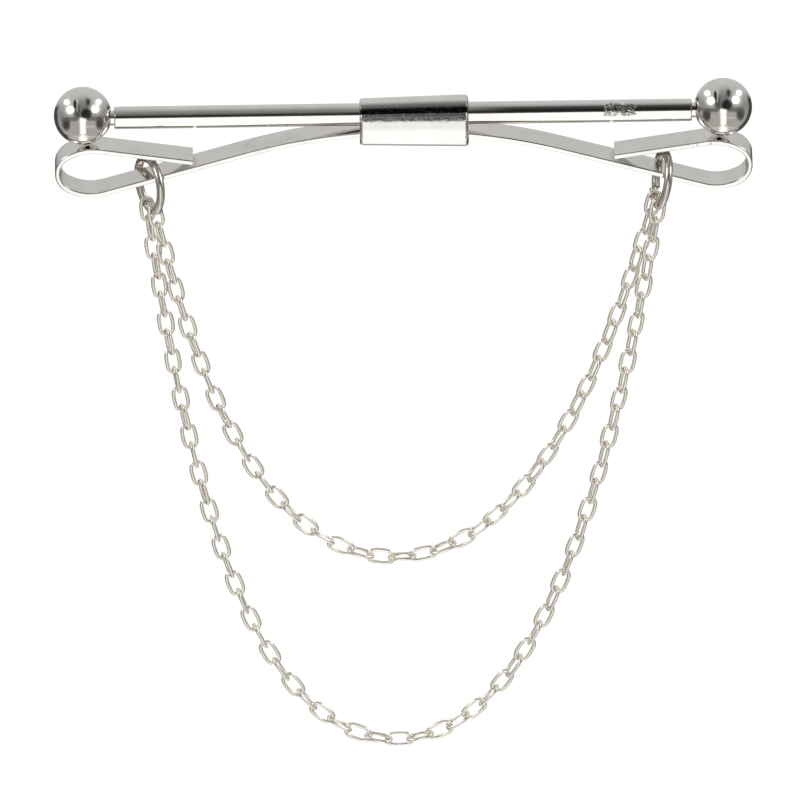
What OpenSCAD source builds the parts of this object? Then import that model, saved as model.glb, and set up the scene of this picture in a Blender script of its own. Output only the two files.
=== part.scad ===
// Collar bar: a ball-ended rod over a sprung clip strip, with two chains
// hanging from jump rings on the clips. Millimetres. X runs along the rod,
// Y is front to back (front is -Y), Z is up; the origin is on the rod axis.

/* [Rod and balls] */

// Length of the rod between its two shoulders
rod_l = 49.8; // [40:0.1:70]
// Diameter of the rod
rod_d = 1.95; // [1.5:0.05:2.4]
// Diameter of each ball
ball_d = 5.0; // [4:0.1:7]
// Gap between the shoulder of the rod and the ball
neck_l = 0.2; // [0.1:0.05:0.6]
// Height of the ball's centre over the rod axis
ball_rise = 0.25; // [0:0.05:0.5]
// Diameter of the peg that carries the ball
peg_d = 1.3; // [0.9:0.05:1.6]
// Depth of the peg in the ball
peg_l = 2.6; // [1.5:0.1:3.5]

/* [Clip strip] */

// Width of the strip
strip_w = 2.8; // [2:0.1:4]
// Thickness of the strip
strip_t = 0.45; // [0.3:0.05:0.7]
// Angle at which each leg slopes down from the middle
leg_slope = 15.9; // [10:0.1:20]
// Bend radius at the middle of the strip
crown_r = 50; // [20:1:80]
// Sideways run of the straight part of a leg
leg_run = 12.19; // [8:0.01:20]
// Radius where a leg turns up into its end loop
heel_r = 4; // [2:0.1:8]
// Angle at which the heel meets the nose of the loop
heel_rise = 30; // [20:1:45]
// Outside height of an end loop
loop_h = 4.65; // [3.5:0.05:6]
// Radius where the loop turns back into the tongue
tongue_r = 4.5; // [2:0.1:8]
// Angle at which the tongue slopes down to its tip
tongue_slope = 8.5; // [4:0.1:12]
// Length of the straight part of a tongue
tongue_l = 7.96; // [4:0.01:10]

/* [Sleeve] */

// Length of the sleeve
sleeve_l = 9.4; // [6:0.1:14]
// Distance of the sleeve's middle from the middle of the bar
sleeve_x = 0.95; // [-2:0.05:2]
// Outside diameter at the left end
sleeve_left_d = 4.05; // [3.9:0.05:5]
// Outside diameter at the right end
sleeve_right_d = 4.5; // [3.9:0.05:5]

/* [Jump rings] */

// Diameter of the ring wire
ring_wire_d = 0.72; // [0.5:0.02:1]
// Diameter of a ring, measured through the wire's centre
ring_d = 4.68; // [4:0.02:6]
// Distance of the left ring back from the heel of its clip
left_ring_back = 3.99; // [3.5:0.01:5]
// Distance of the right ring back from the heel of its clip
right_ring_back = 3.69; // [3.5:0.01:5]
// Angle by which the left ring is turned about the vertical
left_ring_turn = 26; // [0:1:28]
// Angle by which the right ring is turned about the vertical
right_ring_turn = 11; // [0:1:28]
// Angle by which the left ring's top leans to the right
left_ring_lean = 0; // [0:1:4]
// Angle by which the right ring's top leans to the right
right_ring_lean = 12; // [0:1:20]
// Drop of a ring's centre below the middle of its leg
ring_drop = 0.88; // [0.5:0.01:1.2]
// Angle round the ring between its lowest point and an end link
hook_angle = 20; // [15:1:30]

/* [Chains] */

// Diameter of the link wire
link_wire_d = 0.32; // [0.24:0.01:0.4]
// Outside length of a link
link_l = 2.5; // [2:0.02:3.5]
// Outside width of a link
link_w = 1.5; // [1.2:0.05:2]
// Number of links in the long chain, an odd number, without its end links
long_links = 63; // [51:2:91]
// Number of links in the short chain, an odd number, without its end links
short_links = 45; // [41:2:71]
// Angle by which the resting links are twisted from square
link_twist = 22; // [0:1:30]
// Angle by which the resting links wander from an even twist
link_wander = 8; // [0:1:15]
// Angle by which the long chain hangs out of square with the rod
long_hang_lean = 1.6; // [-3:0.1:3]
// Angle by which the short chain hangs out of square with the rod
short_hang_lean = 2.2; // [-3:0.1:3]
// Angle between the long chain's end links and the vertical
long_end_lean = 8; // [0:1:15]
// Angle between the short chain's end links and the vertical
short_end_lean = 13; // [0:1:20]

/* [Hidden] */

// Gap between pieces that rest on each other
seat_gap = 0.02;
// Radial clearance between each ball and its peg, and room past the peg's end
peg_clearance = 0.02;
peg_end_room = 0.1;
// Bevel at the ends of the rod
rod_bevel = 0.1;
// Gap between the wires of two links where they hook
hook_gap = 0.02;
// Of two stretches of strip or wire that join, one stands proud of the other by
// this much all round, and the other runs on into it, so that their faces cross
joint_step = 0.002;
joint_lap = 0.03;
// Shift of the jump rings towards the front, which clears the leg's edges
ring_shift = 0.15;
// Width of the cut in a jump ring, and its angle round from the lowest point
ring_cut = 0.12;
ring_cut_angle = 44;
// Angle by which one end of the cut is bent out of the ring's plane
ring_bend_angle = 3;
// Height of the ring's wire over the middle of the end link that hangs on it
end_link_seat = 0.5;
// Steps of each search for a chain's shape
search_steps = 26;

ball_x = rod_l / 2 + neck_l + ball_d / 2;
crown_z = -rod_d / 2 - seat_gap - strip_t / 2;

// The strip's centre line on the right: the points [x, z] between its stretches,
// and the centres of its bends
nose_r = (loop_h - strip_t - (heel_r + tongue_r) * (1 - cos(heel_rise))) / (2 * cos(heel_rise));
leg_start = [crown_r * sin(leg_slope), crown_z - crown_r * (1 - cos(leg_slope))];
leg_end = leg_start + leg_run * [1, -tan(leg_slope)];
heel_mid = leg_end + heel_r * [sin(leg_slope), cos(leg_slope)];
nose_mid = heel_mid + (heel_r - nose_r) * [sin(heel_rise), -cos(heel_rise)];
tongue_mid = nose_mid + (nose_r - tongue_r) * [sin(heel_rise), cos(heel_rise)];
tongue_start = tongue_mid + tongue_r * [-sin(tongue_slope), cos(tongue_slope)];

// The sleeve's bore is the circle through the rod's top and the strip's lower edges
sleeve_end_x = abs(sleeve_x) + sleeve_l / 2;
edge_y = (strip_w - strip_t) / 2;
edge_z = crown_z - crown_r + sqrt(pow(crown_r, 2) - pow(sleeve_end_x, 2));
edge_reach = rod_d / 2 - strip_t / 2;
bore_z = (pow(edge_reach, 2) - pow(edge_y, 2) - pow(edge_z, 2)) / (2 * (edge_reach - edge_z));
bore_r = rod_d / 2 + seat_gap - bore_z;

// A link's wire follows two half rounds and two straight sides
end_r = (link_w - link_wire_d) / 2;
end_mid = link_l / 2 - link_w / 2;
pitch = link_l - 2 * link_wire_d - hook_gap;
// Distance from the ring's wire to the next link's hook
end_link_reach = end_link_seat + pitch / 2;

// Where the chains hang. A side is -1 for left and 1 for right
function ring_x(side) = side * (leg_end[0] - (side < 0 ? left_ring_back : right_ring_back));
function ring_turn(side) = side < 0 ? left_ring_turn : right_ring_turn;
function ring_lean(side) = side < 0 ? left_ring_lean : right_ring_lean;
function ring_z(side) = leg_end[1] + (leg_end[0] - abs(ring_x(side))) * tan(leg_slope) - ring_drop;
function ring_mid(side) = [ring_x(side), -ring_shift, ring_z(side)];
function turned(v, turn) = [v[0] * cos(turn) - v[1] * sin(turn), v[0] * sin(turn) + v[1] * cos(turn), v[2]];
function on_ring(side, angle) = ring_mid(side) + ring_d / 2 * turned(
    [-cos(angle) * sin(ring_lean(side)), -sin(angle), -cos(angle) * cos(ring_lean(side))],
    ring_turn(side));
function hanging(side, lean) = turned([-side * sin(lean), 0, -cos(lean)], ring_turn(side));
function end_lean(long) = long ? long_end_lean : short_end_lean;
function wire_at(side, long) = on_ring(side, (long ? side : -side) * hook_angle);
function hook_at(side, long) = wire_at(side, long) + end_link_reach * hanging(side, end_lean(long));

// A chain of equal links at rest: the slope of link i grows evenly from its
// lowest place, and a search finds the growth and the place that meet both hooks
function total(v) = v * [for (value = v) 1];
function slope(i, grow, low) = atan(grow * (i - low));
function run(n, grow, low) = pitch * total([for (i = [0 : n - 1]) cos(slope(i, grow, low))]);
function rise(n, grow, low) = pitch * total([for (i = [0 : n - 1]) sin(slope(i, grow, low))]);
function find_low(n, grow, height, from, to, steps) = let (low = (from + to) / 2)
    steps == 0 ? low
    : rise(n, grow, low) > height ? find_low(n, grow, height, low, to, steps - 1)
    : find_low(n, grow, height, from, low, steps - 1);
function find_grow(n, width, height, from, to, steps) = let (grow = (from + to) / 2,
    low = find_low(n, grow, height, 0, n, search_steps))
    steps == 0 ? [grow, low]
    : run(n, grow, low) > width ? find_grow(n, width, height, grow, to, steps - 1)
    : find_grow(n, width, height, from, grow, steps - 1);

// The rod, with a peg at each end for its ball
module rod() {
    color("silver") rotate([0, 90, 0]) {
        cylinder(d = rod_d, h = rod_l - 2 * rod_bevel, center = true, $fn = 64);
        for (turn = [0, 180]) rotate([turn, 0, 0]) translate([0, 0, rod_l / 2 - rod_bevel]) {
            cylinder(d1 = rod_d, d2 = rod_d - 2 * rod_bevel, h = rod_bevel, $fn = 64);
            cylinder(d = peg_d, h = peg_l + rod_bevel, $fn = 48);
        }
    }
}

// One ball, bored for its peg
module ball(side) {
    color("silver") difference() {
        translate([side * ball_x, 0, ball_rise]) sphere(d = ball_d, $fn = 96);
        rotate([0, side * 90, 0])
            cylinder(r = peg_d / 2 + peg_clearance, h = rod_l / 2 + peg_l + peg_end_room, $fn = 48);
    }
}

module left_ball() {
    ball(-1);
}

module right_ball() {
    ball(1);
}

// The sleeve that clamps the strip to the rod: tapered outside, its lips rolled
module sleeve() {
    left_wall = sleeve_left_d / 2 - bore_r;
    right_wall = sleeve_right_d / 2 - bore_r;
    color("silver") translate([sleeve_x - sleeve_l / 2, 0, bore_z]) rotate([0, 90, 0])
        rotate_extrude($fn = 96) translate([bore_r, 0]) {
            translate([left_wall / 2, left_wall / 2]) circle(d = left_wall, $fn = 32);
            translate([right_wall / 2, sleeve_l - right_wall / 2]) circle(d = right_wall, $fn = 32);
            polygon([[0, left_wall / 2], [left_wall, left_wall / 2],
                [right_wall, sleeve_l - right_wall / 2], [0, sleeve_l - right_wall / 2]]);
        }
}

// The strip's cross-section, with its two edges rounded
module strip_section(step) {
    square([strip_t + 2 * step, strip_w - strip_t], center = true);
    for (edge = [-1, 1]) translate([0, edge * (strip_w - strip_t) / 2])
        circle(d = strip_t + 2 * step, $fn = 32);
}

// A bend of the strip about the point [x, z], from one angle round to another
module strip_bend(mid, r, from, to, step = joint_step, lap = 0) {
    more = lap / r * 180 / PI;
    translate([mid[0], 0, mid[1]]) rotate([90, 0, 0]) rotate([0, 0, from - more])
        rotate_extrude(angle = to - from + 2 * more, $fn = 180) translate([r, 0]) strip_section(step);
}

// A straight stretch of the strip from the point [x, z], sloping down by an angle,
// with a lap at its start and, as a rule, at its end
module strip_run(from, turn, l, end_lap = joint_lap) {
    translate([from[0], 0, from[1]]) rotate([0, 90 + turn, 0]) translate([0, 0, -joint_lap])
        linear_extrude(joint_lap + l + end_lap) strip_section(0);
}

// The strip: a leg each way from the crown, each turned back into a tongue
module spring_strip() {
    color("silver") {
        strip_bend([0, crown_z - crown_r], crown_r, 90 - leg_slope, 90 + leg_slope);
        for (side = [0, 180]) rotate([0, 0, side]) {
            strip_run(leg_start, leg_slope, leg_run / cos(leg_slope));
            strip_bend(heel_mid, heel_r, -90 - leg_slope, heel_rise - 90);
            strip_bend(nose_mid, nose_r, heel_rise - 90, 90 - heel_rise, 0, joint_lap);
            strip_bend(tongue_mid, tongue_r, 90 - heel_rise, 90 + tongue_slope);
            strip_run(tongue_start, 180 - tongue_slope, tongue_l, 0);
        }
    }
}

// An arc of wire round the axis, from one angle to another
module wire_arc(r, wire_d, from, to) {
    rotate([0, 0, from]) rotate_extrude(angle = to - from, $fn = 48) translate([r, 0])
        circle(d = wire_d, $fn = 32);
}

// One jump ring, cut low on its front or its back and bent a little at the cut.
// It is drawn flat, its top along X, then stood up and turned
module ring(side) {
    r = ring_d / 2;
    half_cut = asin(ring_cut / ring_d);
    lap = joint_lap / r * 180 / PI;
    color("silver")
        translate(ring_mid(side)) rotate([0, 90 + ring_lean(side), ring_turn(side)])
        rotate([side < 0 ? 0 : 180, 0, 0]) {
            wire_arc(r, ring_wire_d + 2 * joint_step, half_cut - ring_cut_angle, 180);
            translate([-r, 0, 0]) rotate([0, ring_bend_angle, 0]) translate([r, 0, 0])
                wire_arc(r, ring_wire_d, 180 - lap, 360 - ring_cut_angle - half_cut);
        }
}

module left_ring() {
    ring(-1);
}

module right_ring() {
    ring(1);
}

// One chain link, lying flat and lengthways along X
module link() {
    for (turn = [0, 180]) rotate([0, 0, turn]) {
        translate([end_mid, 0, 0]) wire_arc(end_r, link_wire_d, -90, 90);
        translate([0, end_r, 0]) rotate([0, 90, 0])
            cylinder(d = link_wire_d, h = 2 * end_mid, center = true, $fn = 32);
    }
}

// The links that hang each chain's end on a jump ring
module end_links(side) {
    color("silver") for (long = [true, false]) {
        lean = end_lean(long);
        translate(wire_at(side, long) + end_link_seat * hanging(side, lean))
            rotate([0, 0, ring_turn(side)]) rotate([90, 90 + side * lean, 0]) link();
    }
}

module left_end_links() {
    end_links(-1);
}

module right_end_links() {
    end_links(1);
}

// One chain between its two hooks, each link across its neighbours
module chain(n, long) {
    from = hook_at(-1, long);
    span = hook_at(1, long) - from;
    width = norm([span[0], span[1]]);
    hang_lean = long ? long_hang_lean : short_hang_lean;
    fit = find_grow(n, width * cos(hang_lean) - span[2] * sin(hang_lean),
        width * sin(hang_lean) + span[2] * cos(hang_lean), 0, 2, search_steps);
    slopes = [for (i = [0 : n - 1]) slope(i, fit[0], fit[1])];
    steps = [for (angle = slopes) pitch * [cos(angle), 0, sin(angle)]];
    hooks = [for (i = 0, p = [0, 0, 0]; i < n; p = p + steps[i], i = i + 1) p];
    color("silver") translate(from) rotate([0, hang_lean, atan2(span[1], span[0])])
        for (i = [0 : n - 1]) {
            twist = 90 * (i % 2) - link_twist * cos(180 * i / (n - 1)) + link_wander * sin(97 * i);
            translate(hooks[i] + steps[i] / 2) rotate([twist, -slopes[i], 0]) link();
        }
}

module long_chain() {
    chain(long_links, true);
}

module short_chain() {
    chain(short_links, false);
}

rod();
left_ball();
right_ball();
sleeve();
spring_strip();
left_ring();
right_ring();
left_end_links();
right_end_links();
long_chain();
short_chain();
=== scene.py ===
import math

import bmesh
import bpy
import numpy as np
from mathutils import Matrix, Vector


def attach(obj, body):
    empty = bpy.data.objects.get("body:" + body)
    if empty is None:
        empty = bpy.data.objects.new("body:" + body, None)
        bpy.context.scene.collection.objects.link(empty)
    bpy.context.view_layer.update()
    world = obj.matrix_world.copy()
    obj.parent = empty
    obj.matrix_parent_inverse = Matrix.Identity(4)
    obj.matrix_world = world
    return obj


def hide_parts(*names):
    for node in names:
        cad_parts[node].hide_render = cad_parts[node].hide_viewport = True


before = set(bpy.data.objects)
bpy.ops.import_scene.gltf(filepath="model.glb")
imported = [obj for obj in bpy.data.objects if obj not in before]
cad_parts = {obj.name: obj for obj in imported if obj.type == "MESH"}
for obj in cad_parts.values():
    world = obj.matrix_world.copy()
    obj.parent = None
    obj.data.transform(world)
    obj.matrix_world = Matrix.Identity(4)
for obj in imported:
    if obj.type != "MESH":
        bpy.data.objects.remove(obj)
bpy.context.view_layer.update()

# ---------------------------------------------------------------------------
# Sizes of the collar bar, in millimetres and degrees, as in the part's source
# ---------------------------------------------------------------------------
MM = 0.001
SEAT_GAP = 0.02  # between pieces that rest on each other
ROD_L, ROD_D, ROD_BEVEL = 49.8, 1.95, 0.1
PEG_D, PEG_L = 1.3, 2.6
BALL_D, BALL_X, BALL_RISE = 5.0, 27.6, 0.25
STRIP_W, STRIP_T = 2.8, 0.45
LEG_SLOPE, CROWN_R, LEG_RUN = 15.9, 50.0, 12.19
HEEL_R, HEEL_RISE, LOOP_H = 4.0, 30.0, 4.65
TONGUE_R, TONGUE_SLOPE, TONGUE_L = 4.5, 8.5, 7.96
SLEEVE_L, SLEEVE_X, SLEEVE_LEFT_D, SLEEVE_RIGHT_D = 9.4, 0.95, 4.05, 4.5
RING_WIRE_D, RING_D, RING_DROP, RING_SHIFT = 0.72, 4.68, 0.88, 0.15
RING_CUT, RING_CUT_ANGLE, RING_BEND = 0.12, 44.0, 3.0
# Each ring's side of the bar, how far back from the heel it hangs, its turn and its lean
RINGS = {"left_ring": (-1, 3.99, 26.0, 0.0), "right_ring": (1, 3.69, 11.0, 12.0)}
LINK_WIRE_D, LINK_L, LINK_W = 0.32, 2.5, 1.5

# Sizes that only the finished pieces have
SHANK_STOP = 0.02  # the last of the shank, which keeps its shading straight
SHOULDER_IN, SHOULDER_DOWN = 0.04, 0.035  # the middle of the rod's eased shoulder
BORE_GAP, BORE_MOUTH, BORE_SPARE = 0.02, 0.06, 0.12  # round a peg, at the mouth, past its end
STRIP_CORNER = 0.12  # radius
LIP_ROLL, LIP_L, LIP_BEAD, LIP_FULLNESS = 0.3, 0.38, 0.01, 0.8
MOUTH_EASE = 0.05  # of the sleeve
LINK_FULLNESS = 0.7  # 1 would make a link an ellipse
CHAIN_WIRE_D = 0.335  # a little fuller than the solids' wire, as in the photograph

# How finely the pieces are made
ROD_SIDES, SHANK_RINGS, BALL_RINGS, SLEEVE_RINGS, LIP_RINGS = 96, 25, 72, 24, 14
CORNER_SIDES, RING_SIDES, RING_STATIONS, LINK_SIDES, LINK_STEPS = 24, 24, 97, 10, 20


def sin(angle):
    return math.sin(math.radians(angle))


def cos(angle):
    return math.cos(math.radians(angle))


def tan(angle):
    return math.tan(math.radians(angle))


# ---------------------------------------------------------------------------
# Making metal pieces
# ---------------------------------------------------------------------------
def piece(name, bm, finish, body, stands_for, sharp):
    """Turns a millimetre bmesh into a finished piece that rides on its body. Its edges are
    sharp past this angle."""
    bmesh.ops.scale(bm, vec=(MM, MM, MM), verts=bm.verts)
    bmesh.ops.recalc_face_normals(bm, faces=bm.faces)
    mesh = bpy.data.meshes.new(name)
    bm.to_mesh(mesh)
    bm.free()
    for face in mesh.polygons:
        face.use_smooth = True
    mesh.set_sharp_from_angle(angle=math.radians(sharp))
    made = bpy.data.objects.new(name, mesh)
    bpy.context.scene.collection.objects.link(made)
    mesh.materials.append(finish)
    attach(made, body)
    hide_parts(stands_for)
    return made


def turned(profile, steps=128):
    """A solid of revolution about X from (x, radius) points."""
    bm = bmesh.new()
    points = [bm.verts.new((x, 0, radius)) for x, radius in profile]
    edges = [bm.edges.new(pair) for pair in zip(points, points[1:])]
    bmesh.ops.spin(bm, geom=points + edges, cent=(0, 0, 0), axis=(1, 0, 0), dvec=(0, 0, 0),
                   angle=2 * math.pi, steps=steps, use_merge=True, use_duplicate=False)
    bmesh.ops.remove_doubles(bm, verts=bm.verts, dist=1e-5)
    return bm


def outline_edges(verts):
    return list({edge for vert in verts for edge in vert.link_edges})


def drawn_out(section, stations, closed=False):
    """Draws a section's outline through a row of placings, as wire through a die."""
    bm = bmesh.new()
    first = edges = section(bm)
    verts = list({vert for edge in edges for vert in edge.verts})
    bmesh.ops.transform(bm, matrix=stations[0], verts=verts)
    for before, after in zip(stations, stations[1:]):
        grown = bmesh.ops.extrude_edge_only(bm, edges=edges)["geom"]
        verts = [part for part in grown if isinstance(part, bmesh.types.BMVert)]
        edges = [part for part in grown if isinstance(part, bmesh.types.BMEdge)
                 and all(vert in verts for vert in part.verts)]
        bmesh.ops.transform(bm, matrix=after @ before.inverted(), verts=verts)
    if closed:
        bmesh.ops.remove_doubles(bm, verts=bm.verts, dist=1e-4)
    else:
        for end in (first, edges):
            bmesh.ops.contextual_create(bm, geom=end)
    return bm


def round_wire(diameter, sides):
    def section(bm):
        made = bmesh.ops.create_circle(bm, cap_ends=False, segments=sides, radius=diameter / 2)
        return outline_edges(made["verts"])
    return section


def placing(x_way, y_way, z_way, spot):
    """Where and how a section or a link is laid: the directions of its axes, and its spot."""
    laid = Matrix((x_way, y_way, z_way)).transposed().to_4x4()
    laid.translation = spot
    return laid


# ---------------------------------------------------------------------------
# Making finishes
# ---------------------------------------------------------------------------
class Wire:
    """A node's output, which can be added, multiplied and so on."""

    def __init__(self, bench, socket):
        self.bench, self.socket = bench, socket

    def __add__(self, other):
        return self.bench.maths("ADD", self, other)

    def __sub__(self, other):
        return self.bench.maths("SUBTRACT", self, other)

    def __rsub__(self, other):
        return self.bench.maths("SUBTRACT", other, self)

    def __mul__(self, other):
        return self.bench.maths("MULTIPLY", self, other)

    def __truediv__(self, other):
        return self.bench.maths("DIVIDE", self, other)

    __radd__, __rmul__ = __add__, __mul__


class Bench:
    """Where the nodes of one material, or of the studio, are put together."""

    MIX_FACTOR, MIX_LOW, MIX_HIGH, MIX_COLOUR = 0, 6, 7, 2  # the colour sockets of a Mix node

    def __init__(self, owner):
        owner.use_nodes = True
        self.tree = owner.node_tree
        self.tree.nodes.clear()

    def node(self, kind, settings=None, inputs=None, output=0):
        """Adds a node and gives its output, or a list of them for a tuple of names."""
        made = self.tree.nodes.new(kind)
        for name, value in (settings or {}).items():
            if name == "stops":
                ramp = made.color_ramp
                ramp.elements.remove(ramp.elements[1])
                for index, (place, level) in enumerate(value):
                    stop = ramp.elements[0] if index == 0 else ramp.elements.new(place)
                    stop.position = place
                    stop.color = (level, level, level, 1)
            else:
                setattr(made, name, value)
        for name, value in (inputs or {}).items():
            if isinstance(value, Wire):
                self.tree.links.new(value.socket, made.inputs[name])
            else:
                made.inputs[name].default_value = value
        if isinstance(output, tuple):
            return [Wire(self, made.outputs[name]) for name in output]
        return Wire(self, made.outputs[output]) if made.outputs else None

    def maths(self, operation, *inputs):
        return self.node("ShaderNodeMath", {"operation": operation}, dict(enumerate(inputs)))

    def mix(self, factor, low, high):
        return self.node("ShaderNodeMix", {"data_type": "RGBA"}, {
            self.MIX_FACTOR: factor, self.MIX_LOW: low, self.MIX_HIGH: high}, self.MIX_COLOUR)

    def band(self, value, low, high):
        """0 below low, 1 above high, and a smooth step between."""
        return self.node("ShaderNodeMapRange", {"interpolation_type": "SMOOTHSTEP"},
                         {"Value": value, "From Min": low, "From Max": high})

    def noise(self, vector, scale, detail=3.0, roughness=0.55):
        return self.node("ShaderNodeTexNoise", {}, {
            "Vector": vector, "Scale": scale, "Detail": detail, "Roughness": roughness})

    def ramp(self, value, stops):
        return self.node("ShaderNodeValToRGB", {"stops": stops}, {0: value})

    def stretched(self, place, scale):
        return self.node("ShaderNodeMapping", {}, {"Vector": place, "Scale": scale})

    def place(self):
        return self.node("ShaderNodeTexCoord", output="Object")


# The dark that colours are pulled towards: painted reflection in the sleeve's bands and the rod's
# streak, real tarnish in the rod's patch and the strip's mottling
TARNISH_AND_PAINTED_SHADE = (0.008, 0.0075, 0.007, 1)
WORN = 0.93  # how bright the duller clouds are beside the rest
CLOUDS, GRAIN, WAVES, SPECKS = 420, 5200, 1500, 2600  # how many to the metre
GRAIN_DEPTH = 0.0000004
PIT_EDGE = (0.06, 0.2)  # from a speck's middle, in shares of its size


def silver(name, colour, roughness, waviness, drawn=(1, 1, 1), pits=0.0, metallic=1.0, stain_and_painted_shade=None):
    """Plated metal with clouded lustre, fine scratches and small pits. The scratches run along the
    axes where drawn is small; waviness and pits are heights in metres. A stain and painted shade,
    which is a function of the bench and the place, gives how far the colour is darkened, by real
    tarnish on some pieces and by painted reflection on others, and a height to add."""
    finish = bpy.data.materials.new(name)
    bench = Bench(finish)
    place = bench.place()
    cloud = bench.noise(place, CLOUDS)
    grain = bench.noise(bench.stretched(place, drawn), GRAIN, 4)
    waves = bench.noise(place, WAVES, 2)
    speck = bench.node("ShaderNodeTexVoronoi", {"feature": "F1"}, {
        "Vector": place, "Scale": SPECKS})
    pit = 1 - bench.band(speck, *PIT_EDGE)
    tint = bench.mix(bench.band(cloud, 0.35, 0.7), (*colour, 1), (*[c * WORN for c in colour], 1))
    lustre = roughness + 0.05 * bench.band(grain, 0.45, 0.75) + 0.04 * bench.band(cloud, 0.4, 0.7)
    height = waves * waviness + grain * GRAIN_DEPTH - pit * pits
    if stain_and_painted_shade:
        dark, relief = stain_and_painted_shade(bench, place)
        # Darkens the colour: painted reflection on the sleeve and the rod's streak, real tarnish
        # and mottling elsewhere
        tint = bench.mix(dark, tint, TARNISH_AND_PAINTED_SHADE)
        height = height + relief
    normal = bench.node("ShaderNodeBump", {}, {"Height": height, "Distance": 1.0, "Strength": 1.0})
    shader = bench.node("ShaderNodeBsdfPrincipled", {}, {
        "Base Color": tint, "Metallic": metallic, "Roughness": lustre, "Normal": normal})
    bench.node("ShaderNodeOutputMaterial", {}, {"Surface": shader})
    return finish


def measured(bench, place, centre_z):
    """How far along the bar a place is, in metres, and how far up from the front it is round an
    axis at this height, in degrees."""
    along, across, up = bench.node("ShaderNodeSeparateXYZ", {}, {0: place}, ("X", "Y", "Z"))
    return along, bench.maths("ARCTAN2", up - centre_z, 0 - across) * (180 / math.pi)


# The places of the painted reflection bands and of the pitted patch: degrees up from a piece's
# front, or metres along the bar. Each pair is where a soft edge starts and ends, and a wander is
# how far ragged noise moves it. Depths are metres.
SLEEVE_AXIS_Z = -0.00045
DARK_TOP, DARK_DEEPEST, DARK_FOOT, DARK_WANDER = (61, 80), (50, 60), (38, 41), 4
GREY_TOP, GREY_FOOT, GREY_WANDER = (36, 40), (25, 28), 12
CLOUD_TOP, CLOUD_TOP_WANDER, CLOUD_FOOT, CLOUD_FOOT_WANDER = (20, 26), 14, (-6, 8), 8
MARKS_TOP, MARKS_FOOT, SPARKLE_FOOT = (25, 31), (12, 19), (10, 40)
MARKS_DEPTH, SKIN_DEPTH, SPARKLE_DEPTH = 0.00013, 0.000002, 0.00001
STREAK_LEFT, STREAK_TOP, STREAK_FOOT = (0.004, 0.010), (46, 62), (28, 34)
PATCH_LEFT, PATCH_RIGHT, PATCH_WANDER = (0.0180, 0.0185), (0.0206, 0.0210), 0.0016
PATCH_TOP, PATCH_FOOT, PATCH_TURN_WANDER = (84, 98), (20, 30), 40
PATCH_DEPTH, SCUFF_DEPTH = 0.00011, 0.00003


def sleeve_painted_reflection_and_marks(bench, place):
    """A dark band round the sleeve's upper front, a grey one and a faint pale cloud under it, all a
    painted reflection in its colour, and coarse, sparkling tool marks in its height where the grey
    one ends."""
    around = measured(bench, place, SLEEVE_AXIS_Z)[1]
    ragged = bench.noise(place, 2600, 4, 0.7)
    glint = bench.band(bench.noise(place, 7000, 2), 0.60, 0.68)
    crust = bench.noise(bench.stretched(place, (0.6, 1, 1)), 4200, 3, 0.6)

    def above(edge, wander=0):
        return bench.band(around + wander * ragged if wander else around, *edge)

    def below(edge, wander=0):
        return 1 - above(edge, wander)

    # The dark band, the grey band and the pale cloud are painted reflection: the room's dark
    # mirrored shade, painted into the colour
    dark = (0.7 * below(DARK_TOP) + 0.3 * below(DARK_DEEPEST)) * above(DARK_FOOT, DARK_WANDER)
    grey = 0.5 * above(GREY_FOOT, GREY_WANDER) * below(GREY_TOP)
    cloud = 0.17 * above(CLOUD_FOOT, CLOUD_FOOT_WANDER) * below(CLOUD_TOP, CLOUD_TOP_WANDER)
    marks = above(MARKS_FOOT) * below(MARKS_TOP) * crust * MARKS_DEPTH
    sparkle = above(SPARKLE_FOOT) * glint * SPARKLE_DEPTH
    # The glints also lighten the painted dark band a little, as painted sparkle
    return dark * (1 - 0.12 * glint) + grey + cloud, marks + ragged * SKIN_DEPTH + sparkle


def rod_painted_streak_and_pits(bench, place):
    """A dark streak painted on the rod's right half, a painted reflection, and a pitted patch in
    its plating.
    """
    along, around = measured(bench, place, 0)
    # The streak is painted reflection: the dark band the rod mirrors, painted into its colour
    streak = 0.8 * bench.band(along, *STREAK_LEFT) * bench.band(around, *STREAK_FOOT) * (
        1 - bench.band(around, *STREAK_TOP))
    ragged = bench.noise(place, 1500, 4, 0.6)
    crust = bench.noise(place, 2300, 3, 0.6)
    ragged_along, ragged_around = along + PATCH_WANDER * ragged, around + PATCH_TURN_WANDER * ragged
    patch = (1 - bench.band(ragged_along, *PATCH_RIGHT)) * bench.band(ragged_along, *PATCH_LEFT) * (
        bench.band(ragged_around, *PATCH_FOOT)) * (1 - bench.band(ragged_around, *PATCH_TOP))
    flaked = patch * bench.band(crust, 0.48, 0.54) * (1 - bench.band(crust, 0.56, 0.62))
    return streak * (1 - 0.7 * patch) + 0.8 * flaked, patch * crust * PATCH_DEPTH


def strip_stain(bench, place):
    """A faint mottling over the strip, and a few scuffs."""
    mottled = bench.band(bench.noise(place, 900, 3), 0.6, 0.75)
    scuff = bench.band(bench.noise(place, 230, 3, 0.7), 0.665, 0.70)
    return 0.10 * mottled, scuff * bench.noise(place, 3000, 3) * SCUFF_DEPTH


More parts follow.
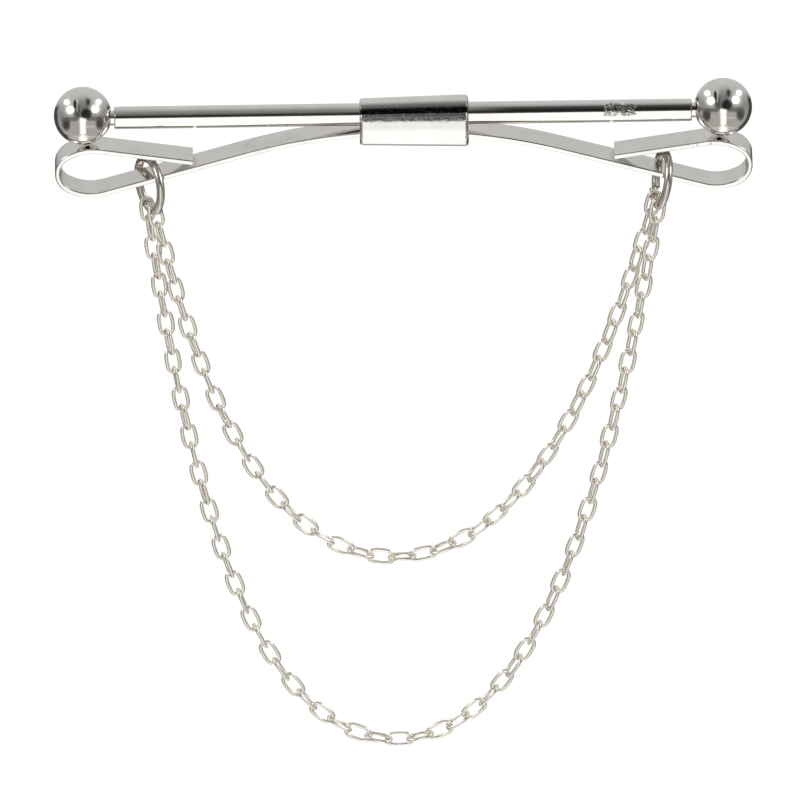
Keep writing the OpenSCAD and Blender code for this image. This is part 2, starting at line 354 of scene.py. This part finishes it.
BRIGHT_SILVER = (0.90, 0.875, 0.835)
ROD_FINISH = silver("rod_silver", BRIGHT_SILVER, roughness=0.05, waviness=0.0000022,
                    drawn=(0.15, 1, 1), pits=0.000001, stain_and_painted_shade=rod_painted_streak_and_pits)
BALL_FINISH = silver("ball_silver", BRIGHT_SILVER, roughness=0.035, waviness=0.0000012)
SLEEVE_FINISH = silver("sleeve_silver", (0.90, 0.88, 0.84), roughness=0.06, waviness=0.000002,
                       drawn=(0.2, 1, 1), pits=0.000001, stain_and_painted_shade=sleeve_painted_reflection_and_marks)
STRIP_FINISH = silver("strip_silver", (0.87, 0.85, 0.81), roughness=0.08, waviness=0.0000008,
                      drawn=(0.1, 1, 0.1), pits=0.0000005, stain_and_painted_shade=strip_stain)
RING_FINISH = silver("ring_silver", (0.78, 0.73, 0.66), roughness=0.16, waviness=0.000005,
                     drawn=(1, 1, 0.3), pits=0.000002, metallic=0.9)
CHAIN_FINISH = silver("chain_silver", (0.97, 0.92, 0.83), roughness=0.12, waviness=0.000004,
                      pits=0.000001, metallic=0.77)
CUT_FINISH = silver("cut_wire", (0.22, 0.20, 0.18), roughness=0.4, waviness=0.00001, pits=0.00001)

# ---------------------------------------------------------------------------
# The rod and its balls
# ---------------------------------------------------------------------------
rod_half, rod_r, peg_r, ball_r = ROD_L / 2, ROD_D / 2, PEG_D / 2, BALL_D / 2
right_end = [(rod_half - ROD_BEVEL - SHANK_STOP, rod_r), (rod_half - ROD_BEVEL, rod_r),
             (rod_half - SHOULDER_IN, rod_r - SHOULDER_DOWN), (rod_half, rod_r - ROD_BEVEL),
             (rod_half, peg_r), (rod_half + PEG_L, peg_r), (rod_half + PEG_L, 0)]
left_end = [(-x, radius) for x, radius in reversed(right_end)]
shank = [(x, rod_r) for x in np.linspace(-rod_half + 1, rod_half - 1, SHANK_RINGS)]
bm = turned(left_end + shank + right_end, ROD_SIDES)
piece("turned_rod", bm, ROD_FINISH, "bar", "rod", sharp=50)


def ball(name, node, side):
    """A ball with a bore for the rod's peg, its mouth slightly eased."""
    bore = peg_r + BORE_GAP
    start = math.asin((bore + BORE_MOUTH) / ball_r)
    outline = [(ball_r * math.cos(a), ball_r * math.sin(a))
               for a in np.linspace(0, math.pi - start, BALL_RINGS)]
    depth = -ball_r + PEG_L + BORE_SPARE
    outline += [(-ball_r * math.cos(start) + BORE_MOUTH, bore), (depth, bore), (depth, 0)]
    bm = turned(outline)
    bmesh.ops.scale(bm, vec=(side, 1, 1), verts=bm.verts)
    bmesh.ops.translate(bm, vec=(side * BALL_X, 0, BALL_RISE), verts=bm.verts)
    piece(name, bm, BALL_FINISH, "bar", node, sharp=50)


ball("left_end_ball", "left_ball", -1)
ball("right_end_ball", "right_ball", 1)

# ---------------------------------------------------------------------------
# The spring strip, drawn along its centre line in the XZ plane
# ---------------------------------------------------------------------------
crown_z = -rod_r - SEAT_GAP - STRIP_T / 2
nose_r = (LOOP_H - STRIP_T - (HEEL_R + TONGUE_R) * (1 - cos(HEEL_RISE))) / (2 * cos(HEEL_RISE))
leg_start = Vector((CROWN_R * sin(LEG_SLOPE), 0, crown_z - CROWN_R * (1 - cos(LEG_SLOPE))))
leg_end = leg_start + LEG_RUN * Vector((1, 0, -tan(LEG_SLOPE)))


def half_strip():
    """Spots and headings along the strip, from the crown out to the right tongue's tip."""
    heading, spot, rows = 0.0, Vector((0, 0, crown_z)), []

    def put():
        rows.append((spot.copy(), heading))

    def bend(radius, turn, steps):
        nonlocal heading, spot
        way = 1 if turn > 0 else -1
        centre = spot + way * radius * Vector((-sin(heading), 0, cos(heading)))
        arm, first = spot - centre, heading
        for step in range(1, steps + 1):
            heading = first + turn * step / steps
            spot = centre + Matrix.Rotation(math.radians(first - heading), 3, "Y") @ arm
            put()

    def run(length, steps):
        nonlocal spot
        for _ in range(steps):
            spot = spot + length / steps * Vector((cos(heading), 0, sin(heading)))
            put()

    put()
    bend(CROWN_R, -LEG_SLOPE, steps=16)
    run(LEG_RUN / cos(LEG_SLOPE), steps=10)
    bend(HEEL_R, LEG_SLOPE + HEEL_RISE, steps=20)
    bend(nose_r, 180 - 2 * HEEL_RISE, steps=44)
    bend(TONGUE_R, HEEL_RISE + TONGUE_SLOPE, steps=20)
    run(TONGUE_L, steps=8)
    return rows


def strip_section(bm):
    """A flat band with eased corners: a circle whose quarters are pulled apart."""
    made = bmesh.ops.create_circle(bm, cap_ends=False, segments=CORNER_SIDES, radius=STRIP_CORNER)
    bmesh.ops.rotate(bm, verts=made["verts"], cent=(0, 0, 0),
                     matrix=Matrix.Rotation(math.pi / CORNER_SIDES, 3, "Z"))
    for vert in made["verts"]:
        vert.co.x += math.copysign(STRIP_T / 2 - STRIP_CORNER, vert.co.x)
        vert.co.y += math.copysign(STRIP_W / 2 - STRIP_CORNER, vert.co.y)
    return outline_edges(made["verts"])


def across_strip(spot, heading):
    thick, wide = Vector((-sin(heading), 0, cos(heading))), Vector((0, 1, 0))
    return placing(thick, wide, thick.cross(wide), spot)


half = half_strip()
path = [(Vector((-spot.x, 0, spot.z)), -heading) for spot, heading in reversed(half[1:])] + half
bm = drawn_out(strip_section, [across_strip(spot, heading) for spot, heading in path])
for side in (-1, 1):
    for inset in (0.02, 0.5):  # lines beside the eased corners keep the flats' shading flat
        bmesh.ops.bisect_plane(
            bm, geom=bm.verts[:] + bm.edges[:] + bm.faces[:], dist=1e-6,
            plane_co=(0, side * (STRIP_W / 2 - STRIP_CORNER - inset), 0), plane_no=(0, 1, 0))
piece("folded_spring_strip", bm, STRIP_FINISH, "bar", "spring_strip", sharp=45)

# ---------------------------------------------------------------------------
# The sleeve, with its rolled lips. Its bore just holds the rod and the strip.
# ---------------------------------------------------------------------------
edge_y = (STRIP_W - STRIP_T) / 2
sleeve_end = abs(SLEEVE_X) + SLEEVE_L / 2
edge_z = crown_z - CROWN_R + math.sqrt(CROWN_R ** 2 - sleeve_end ** 2)
edge_reach = rod_r - STRIP_T / 2
bore_z = (edge_reach ** 2 - edge_y ** 2 - edge_z ** 2) / (2 * (edge_reach - edge_z))
bore_r = rod_r + SEAT_GAP - bore_z
left_wall, right_wall = SLEEVE_LEFT_D / 2 - bore_r, SLEEVE_RIGHT_D / 2 - bore_r
left_x, right_x = SLEEVE_X - SLEEVE_L / 2, SLEEVE_X + SLEEVE_L / 2


def rolled_lip(end_x, inward, wall):
    """The lip from its mouth out to the wall's outside: a soft roll with a small bead."""
    return [(end_x + inward * LIP_ROLL * (1 - math.cos(a)),
             bore_r + MOUTH_EASE + (wall - MOUTH_EASE) * math.sin(a) ** LIP_FULLNESS)
            for a in np.linspace(0, math.pi / 2, LIP_RINGS)]


outside = [(x, bore_r + left_wall + (right_wall - left_wall) * (x - left_x) / (right_x - left_x))
           for x in np.linspace(left_x + LIP_L, right_x - LIP_L, SLEEVE_RINGS)]
outline = (rolled_lip(left_x, 1, left_wall + LIP_BEAD) + outside
           + rolled_lip(right_x, -1, right_wall - LIP_BEAD)[::-1])
outline += [(x, bore_r) for x in np.linspace(right_x - MOUTH_EASE, left_x + MOUTH_EASE, 6)]
outline.append(outline[0])
bm = turned(outline)
bmesh.ops.translate(bm, vec=(0, 0, bore_z), verts=bm.verts)
piece("clamping_sleeve", bm, SLEEVE_FINISH, "bar", "sleeve", sharp=60)


# ---------------------------------------------------------------------------
# Jump rings, each cut and a little sprung at the cut
# ---------------------------------------------------------------------------
def swung(angle, axis):
    return Matrix.Rotation(math.radians(angle), 4, axis)


def jump_ring(name, node, body):
    side, back, turn, lean = RINGS[node]
    radius, half_cut = RING_D / 2, math.degrees(math.asin(RING_CUT / RING_D))
    middle = Vector((side * (leg_end.x - back), -RING_SHIFT,
                     leg_end.z + back * tan(LEG_SLOPE) - RING_DROP))
    place = (Matrix.Translation(middle) @ swung(turn, "Z") @ swung(90 + lean, "Y")
             @ swung(0 if side < 0 else 180, "X"))
    to_wire = Matrix.Translation((radius, 0, 0))
    sprung = Matrix.Translation((-radius, 0, 0)) @ swung(RING_BEND, "Y") @ to_wire
    from_cut, to_cut = half_cut - RING_CUT_ANGLE, 360 - RING_CUT_ANGLE - half_cut
    stations = []
    for angle in np.linspace(from_cut, to_cut, RING_STATIONS):
        on_ring = swung(angle, "Z") @ to_wire @ swung(90, "X")
        stations.append(place @ (sprung if angle > 180 else Matrix.Identity(4)) @ on_ring)
    bm = drawn_out(round_wire(RING_WIRE_D, RING_SIDES), stations)
    made = piece(name, bm, RING_FINISH, body, node, sharp=45)
    made.data.materials.append(CUT_FINISH)
    for face in made.data.polygons:
        if len(face.vertices) > 4:  # only the two cut ends have so many
            face.material_index = 1


jump_ring("left_jump_ring", "left_ring", "left_hanger")
jump_ring("right_jump_ring", "right_ring", "right_hanger")


# ---------------------------------------------------------------------------
# Chain links: one oval link, laid where each link of the CAD part lies
# ---------------------------------------------------------------------------
def oval_stations():
    """Placings round an oval between a straight-sided loop and an ellipse."""
    long_r, short_r, nearby = (LINK_L - LINK_WIRE_D) / 2, (LINK_W - LINK_WIRE_D) / 2, 0.02
    level = Vector((0, 0, 1))

    def spot(turn):
        c, s = math.cos(turn), math.sin(turn)
        return Vector((long_r * math.copysign(abs(c) ** LINK_FULLNESS, c),
                       short_r * math.copysign(abs(s) ** LINK_FULLNESS, s), 0))

    rows = []
    for step in range(LINK_STEPS + 1):
        turn = 2 * math.pi * step / LINK_STEPS
        ahead = (spot(turn + nearby) - spot(turn - nearby)).normalized()
        rows.append(placing(ahead.cross(level), level, ahead * -1, spot(turn)))
    return rows


LINK_STATIONS = oval_stations()


def loose_solids(solid):
    """The vertices of each separate solid of a bmesh."""
    seen, groups = set(), []
    for first in solid.verts:
        if first.index in seen:
            continue
        seen.add(first.index)
        group, waiting = [first], [first]
        while waiting:
            vert = waiting.pop()
            for edge in vert.link_edges:
                other = edge.other_vert(vert)
                if other.index not in seen:
                    seen.add(other.index)
                    group.append(other)
                    waiting.append(other)
        groups.append(group)
    return groups


def link_places(node):
    """Each CAD link's own placing: its middle, length, width and thickness directions."""
    solid = bmesh.new()
    solid.from_mesh(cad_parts[node].data)
    bmesh.ops.remove_doubles(solid, verts=solid.verts, dist=2e-7)
    places = []
    for group in loose_solids(solid):
        points = np.array([vert.co for vert in group]) / MM
        middle = points.mean(0)
        axes = np.linalg.eigh(np.cov((points - middle).T))[1]
        length, width = Vector(axes[:, 2]), Vector(axes[:, 1])
        places.append(placing(length, width, length.cross(width), Vector(middle)))
    solid.free()
    return places


def linked(name, node, body, wire_d=LINK_WIRE_D):
    bm = bmesh.new()
    for place in link_places(node):
        one = drawn_out(round_wire(wire_d, LINK_SIDES), LINK_STATIONS, closed=True)
        bmesh.ops.transform(one, matrix=place, verts=one.verts)
        mesh = bpy.data.meshes.new("one_link")
        one.to_mesh(mesh)
        one.free()
        bm.from_mesh(mesh)
        bpy.data.meshes.remove(mesh)
    piece(name, bm, CHAIN_FINISH, body, node, sharp=80)


linked("left_ring_links", "left_end_links", "left_hanger")
linked("right_ring_links", "right_end_links", "right_hanger")
linked("long_chain_links", "long_chain", "outer_drape", CHAIN_WIRE_D)
linked("short_chain_links", "short_chain", "inner_drape", CHAIN_WIRE_D)

# ---------------------------------------------------------------------------
# The camera: a long lens, 26 degrees from above
# ---------------------------------------------------------------------------
ELEVATION, ROLL = 26.0, 0.806
DISTANCE, BAR_NEARER = 2.6, 0.012  # from the camera to its aim, and how much nearer the bar is
SENSOR_W, PICTURE_PX, PX_PER_MM = 36, 800, 11.6
towards = Vector((0, -cos(ELEVATION), sin(ELEVATION)))
upwards = Vector((0, sin(ELEVATION), cos(ELEVATION)))
aim = Vector((-0.0006056, 0, -0.02744))

scene = bpy.context.scene
scene.view_settings.view_transform = "Standard"
camera = bpy.data.objects.new("camera", bpy.data.cameras.new("camera"))
scene.collection.objects.link(camera)
scene.camera = camera
camera.data.sensor_width = SENSOR_W
camera.data.lens = SENSOR_W * (DISTANCE - BAR_NEARER) / (PICTURE_PX / PX_PER_MM * MM)
camera.data.clip_start, camera.data.clip_end = 0.01, 20
camera.rotation_mode = "QUATERNION"
camera.location = aim + DISTANCE * towards
camera.rotation_quaternion = ((-towards).to_track_quat("-Z", "Y").to_matrix()
                              @ Matrix.Rotation(math.radians(-ROLL), 3, "Z")).to_quaternion()

# ---------------------------------------------------------------------------
# The white table under the bar. The metal doesn't mirror it: the studio stands in for it.
# ---------------------------------------------------------------------------
WHITE = (1, 1, 1, 1)
TABLE_R, TABLE_PLACE = 0.17, (0, 0.03, -0.075)
TABLE_GLOW = 0.7  # the share of white that a camera ray sees, beside the lit and shaded paper

table = bmesh.new()
bmesh.ops.create_circle(table, cap_ends=True, segments=96, radius=TABLE_R)
bmesh.ops.translate(table, vec=TABLE_PLACE, verts=table.verts)
table_mesh = bpy.data.meshes.new("table")
table.to_mesh(table_mesh)
table.free()
floor = bpy.data.objects.new("white_table", table_mesh)
scene.collection.objects.link(floor)
paper = bpy.data.materials.new("white_paper")
bench = Bench(paper)
fibre = bench.band(bench.noise(bench.place(), 900), 0.3, 0.7)
shade = bench.mix(fibre, (0.93, 0.93, 0.93, 1), (0.95, 0.95, 0.95, 1))
matt = bench.node("ShaderNodeBsdfDiffuse", {}, {"Color": shade})
glow = bench.node("ShaderNodeEmission", {}, {"Color": WHITE, "Strength": 1.0})
to_camera, off_metal, through_glass = bench.node(
    "ShaderNodeLightPath", output=("Is Camera Ray", "Is Glossy Ray", "Is Transmission Ray"))
seen = to_camera + off_metal + through_glass
surface = bench.node("ShaderNodeMixShader", {}, {0: TABLE_GLOW * seen, 1: matt, 2: glow})
bench.node("ShaderNodeOutputMaterial", {}, {"Surface": surface})
table_mesh.materials.append(paper)
floor.visible_glossy = False

# ---------------------------------------------------------------------------
# The studio that the polished metal mirrors. Its places are x and y in the mirror image in a
# ball that stands where the bar is, from -1 to 1; its levels are greys, where 1 is white.
# ---------------------------------------------------------------------------
UNSTEADY_X, UNSTEADY_Y = 0.08, 0.05
MIDDLE_WALL = (  # places from the bottom, 0, to the top, 1, and their levels: white below
    (0.0, 0.34), (0.025, 0.36), (0.04, 1.1), (0.445, 1.25), (0.475, 0.18), (0.55, 0.16),
    (0.65, 0.20), (0.74, 0.29), (0.84, 0.52), (0.92, 0.62), (1.0, 0.60))
SIDE_WALLS = (
    (0.0, 0.58), (0.15, 0.46), (0.36, 0.34), (0.5, 0.28), (0.58, 0.31), (0.66, 0.42),
    (0.84, 0.56), (1.0, 0.60))
LAMPS = (  # x, y and radius
    (-0.54, 0.47, 0.09), (-0.43, 0.20, 0.13), (0.55, 0.47, 0.09), (0.44, 0.23, 0.135))
LAMP_LEVEL, LAMP_SOFT = 2.4, 0.45
HALO_LEVEL, HALO_SOFT, HALO_STRENGTH, HALO_SIZE = 0.9, 0.9, 0.45, 1.6
SMUDGES = (  # strength, level, x, y, half width, half height and softness
    (0.65, 0.09, 0.10, 0.40, 0.20, 0.24, 0.8), (0.9, 0.03, 0.19, 0.46, 0.06, 0.11, 0.7),
    (0.8, 0.05, -0.18, 0.16, 0.13, 0.24, 0.7), (0.95, 0.01, -0.26, 0.40, 0.055, 0.15, 0.6),
    (0.9, 0.03, -0.57, -0.29, 0.14, 0.21, 0.8), (0.9, 0.045, 0.58, -0.27, 0.15, 0.21, 0.8),
    (0.6, 0.10, -0.60, -0.72, 0.10, 0.10, 0.8))


def tone(level, warmth=0.03):
    return (level * (1 + warmth), level * (1 + warmth * 0.3), level * (1 - warmth * 2), 1)


def studio():
    """Plain white for the camera and for light that falls on the object, and for rays off
    polished metal the room that the photograph's own metal mirrors."""
    world = bpy.data.worlds.new("studio")
    scene.world = world
    bench = Bench(world)
    way = bench.node("ShaderNodeTexCoord", output="Generated")

    def dot(axis):
        return bench.node("ShaderNodeVectorMath", {"operation": "DOT_PRODUCT"},
                          {0: way, 1: axis}, "Value")

    # A ball mirrors this direction at x and y, a little unsteady so that no edge is ruled. The
    # number is a hair over 2, because a root of 0 can't divide.
    spread = bench.maths("SQRT", 2 * dot(towards) + 2.0001)
    unsteady = bench.noise(way, 5, 3) - 0.5
    sidewards = dot(Vector((1, 0, 0)))
    x = sidewards / spread + UNSTEADY_X * unsteady * sidewards
    y = dot(upwards) / spread + UNSTEADY_Y * unsteady

    def patch(cx, cy, rx, ry, soft):
        """1 inside an oval, 0 outside, with a soft edge."""
        u, v = (x - cx) * (1 / rx), (y - cy) * (1 / ry)
        return 1 - bench.band(u * u + v * v, 1 - soft, 1 + soft)

    def card(left, right, low, high, soft):
        """1 inside a rectangle, 0 outside, with soft edges."""
        def past(value, edge):
            return bench.band(value, edge - soft, edge + soft)
        return past(x, left) * (1 - past(x, right)) * past(y, low) * (1 - past(y, high))

    off_middle = bench.maths("ABSOLUTE", x)
    walls = bench.band(off_middle, 0.07, 0.13)
    height = (y + 1) * 0.5
    room = bench.mix(bench.band(off_middle, 0.08, 0.2),
                     bench.ramp(height, MIDDLE_WALL), bench.ramp(height, SIDE_WALLS))
    glare = 0.0
    for cx, cy, radius in LAMPS:
        halo = patch(cx, cy, HALO_SIZE * radius, HALO_SIZE * radius, HALO_SOFT)
        room = bench.mix(HALO_STRENGTH * halo, room, tone(HALO_LEVEL, 0.0))
        glare = patch(cx, cy, radius, radius, LAMP_SOFT) + glare
    for strength, level, cx, cy, rx, ry, soft in SMUDGES:
        room = bench.mix(strength * patch(cx, cy, rx, ry, soft) * walls, room, tone(level))

    rim = bench.band(x * x + y * y, 0.72, 0.82) * bench.band(off_middle, 0.42, 0.6) * (
        1 - bench.band(y, 0.25, 0.45))
    for share, colour in (
            (0.7 * walls * card(-0.75, 0.72, -0.19, -0.05, 0.04), tone(0.12)),  # a dark ledge
            (0.92 * patch(0.13, 0.06, 0.18, 0.18, 0.6), tone(0.006)),  # a black blot
            (card(-0.43, 0.46, -0.68, -0.20, 0.045), tone(0.40)),  # a grey card
            (card(-0.10, 0.10, -0.64, -0.125, 0.04), tone(1.2, 0.0)),  # bright gaps in it
            (card(-0.055, 0.03, -0.93, -0.5, 0.02), tone(1.2, 0.0)),
            (0.5 * walls * card(-0.34, 0.38, -0.75, -0.71, 0.02), tone(0.8)),
            (0.4 * walls * card(-0.05, 0.42, -0.42, -0.36, 0.03), tone(0.8)),
            (0.7 * card(-0.20, -0.17, 0.16, 0.54, 0.015), tone(0.7)),  # an upright streak
            (0.9 * rim, tone(0.03))):  # dark low down at the sides
        room = bench.mix(share, room, colour)
    lit = bench.mix(bench.band(glare, 0, 1), room, (LAMP_LEVEL, LAMP_LEVEL, LAMP_LEVEL, 1))
    off_metal = bench.node("ShaderNodeLightPath", output="Is Glossy Ray")
    sky = bench.node("ShaderNodeBackground", {}, {
        "Color": bench.mix(off_metal, WHITE, lit), "Strength": 1.0})
    bench.node("ShaderNodeOutputWorld", {}, {"Surface": sky})


studio()

SOFTBOX_POWER, SOFTBOX_SIZE = 1.2, 0.4
for name, spot in (("left_softbox", (-0.35, 0.35, 0.6)), ("right_softbox", (0.35, 0.35, 0.6))):
    lamp = bpy.data.objects.new(name, bpy.data.lights.new(name, "AREA"))
    lamp.data.shape, lamp.data.size, lamp.data.energy = "DISK", SOFTBOX_SIZE, SOFTBOX_POWER
    lamp.location = spot
    lamp.rotation_mode = "QUATERNION"
    lamp.rotation_quaternion = (-Vector(spot)).to_track_quat("-Z", "Y")
    lamp.visible_glossy = False
    scene.collection.objects.link(lamp)
